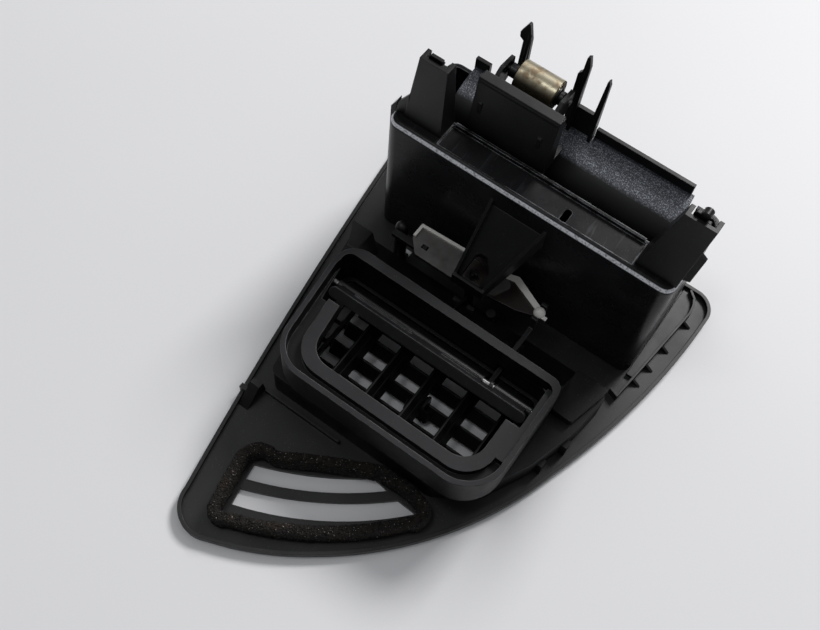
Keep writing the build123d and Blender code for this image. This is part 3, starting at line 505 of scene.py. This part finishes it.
def lathe_x(name, profile, material, body):
    """A turned piece about the spring's axle, from (x, radius) pairs."""
    bm = bmesh.new()
    rings = []
    for x, radius in profile:
        ring = []
        for i in range(HUB_SIDES):
            angle = 2 * math.pi * i / HUB_SIDES
            place = at(x, ROLL_Y + radius * math.cos(angle), ROLL_Z + radius * math.sin(angle))
            ring.append(bm.verts.new(place))
        rings.append(ring)
    for a, b in zip(rings, rings[1:] + rings[:1]):
        for i in range(HUB_SIDES):
            m = (i + 1) % HUB_SIDES
            bm.faces.new((a[i], a[m], b[m], b[i]))
    mesh = closed_mesh(bm, name)
    piece = make_object(name, mesh, material, body)
    mesh.set_sharp_from_angle(angle=SHARP)
    return piece


roll = spring_roll()
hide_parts("spring_coil")
hub = lathe_x("spring_hub", HUB, PRONG, "spring_roll")
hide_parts("spring_drum")


# ---- floor, light and camera ----------------------------------------------
FLOOR_HALF, FLOOR_Z = 3.0, -0.0002      # metres
CAMERA_YAW, CAMERA_DIP, CAMERA_ROLL = math.radians(-29.25), math.radians(63.1), math.radians(7.25)
CAMERA_PLACE = (105.9, -211.7, 480)     # working-frame millimetres


def floor():
    mesh = bpy.data.meshes.new("floor")
    corners = [(-FLOOR_HALF, -FLOOR_HALF), (FLOOR_HALF, -FLOOR_HALF), (FLOOR_HALF, FLOOR_HALF),
               (-FLOOR_HALF, FLOOR_HALF)]
    mesh.from_pydata([(x, y, FLOOR_Z) for x, y in corners], [], [(0, 1, 2, 3)])
    piece = bpy.data.objects.new("floor", mesh)
    bpy.context.scene.collection.objects.link(piece)
    t = Tree("floor")
    cloud = t.span(t.noise(3.0, 3.0), 0.3, 0.7)
    t.put(t.shader, "Base Color", t.mix(cloud, (0.725, 0.728, 0.745, 1), (0.745, 0.747, 0.762, 1)))
    t.put(t.shader, "Roughness", 0.55)
    t.put(t.shader, "Specular IOR Level", 0.3)
    mesh.materials.append(t.material)


def area_light(name, place, target, size, power, color):
    light = bpy.data.lights.new(name, "AREA")
    light.shape = "DISK"
    light.size = size
    light.energy = power
    light.color = color
    holder = bpy.data.objects.new(name, light)
    holder.location = place
    holder.rotation_euler = (Vector(target) - Vector(place)).to_track_quat("-Z", "Y").to_euler()
    bpy.context.scene.collection.objects.link(holder)


def camera():
    yaw, dip, roll_angle = CAMERA_YAW, CAMERA_DIP, CAMERA_ROLL
    ahead = Vector((math.sin(yaw) * math.cos(dip), math.cos(yaw) * math.cos(dip), -math.sin(dip)))
    right = Vector((math.cos(yaw), -math.sin(yaw), 0))
    up = right.cross(ahead)
    right_turned = right * math.cos(roll_angle) + up * math.sin(roll_angle)
    up_turned = up * math.cos(roll_angle) - right * math.sin(roll_angle)
    holder = bpy.data.objects.new("camera", bpy.data.cameras.new("camera"))
    matrix = Matrix((right_turned, up_turned, -ahead)).transposed().to_4x4()
    matrix.translation = at(*CAMERA_PLACE)
    holder.matrix_world = matrix
    holder.data.lens = 46.1
    holder.data.sensor_width = 36
    bpy.context.scene.collection.objects.link(holder)
    bpy.context.scene.camera = holder


floor()
camera()
area_light("key", (0.22, 1.74, 1.62), (0.0, 0.0, 0.05), 0.75, 46.0, (1.0, 0.99, 0.985))
area_light("ceiling", (-0.42, -0.32, 1.75), (0, 0, 0.05), 0.4, 3.0, (0.98, 0.99, 1.0))


def studio_world():
    """Soft room light, pale overhead and behind, and a pale backdrop past the floor."""
    world = bpy.data.worlds.new("studio")
    world.use_nodes = True
    tree = world.node_tree
    coord = tree.nodes.new("ShaderNodeTexCoord")
    split = tree.nodes.new("ShaderNodeSeparateXYZ")
    tree.links.new(coord.outputs["Generated"], split.inputs["Vector"])
    tilt = tree.nodes.new("ShaderNodeMath")
    tilt.operation = "MULTIPLY_ADD"
    tree.links.new(split.outputs["Y"], tilt.inputs[0])
    tilt.inputs[1].default_value = 0.45
    tree.links.new(split.outputs["Z"], tilt.inputs[2])
    ramp = tree.nodes.new("ShaderNodeMapRange")
    ramp.interpolation_type = "SMOOTHSTEP"
    for key, value in (("From Min", -0.2), ("From Max", 1.0), ("To Min", 0.03), ("To Max", 0.45)):
        ramp.inputs[key].default_value = value
    tree.links.new(tilt.outputs[0], ramp.inputs["Value"])
    background = tree.nodes["Background"]
    background.inputs["Color"].default_value = (0.97, 0.98, 1.0, 1)
    path = tree.nodes.new("ShaderNodeLightPath")
    backdrop = tree.nodes.new("ShaderNodeMath")
    backdrop.operation = "MULTIPLY_ADD"
    tree.links.new(path.outputs["Is Camera Ray"], backdrop.inputs[0])
    backdrop.inputs[1].default_value = 0.45
    tree.links.new(ramp.outputs["Result"], backdrop.inputs[2])
    tree.links.new(backdrop.outputs[0], background.inputs["Strength"])
    bpy.context.scene.world = world


studio_world()
bpy.context.scene.view_settings.view_transform = "Standard"
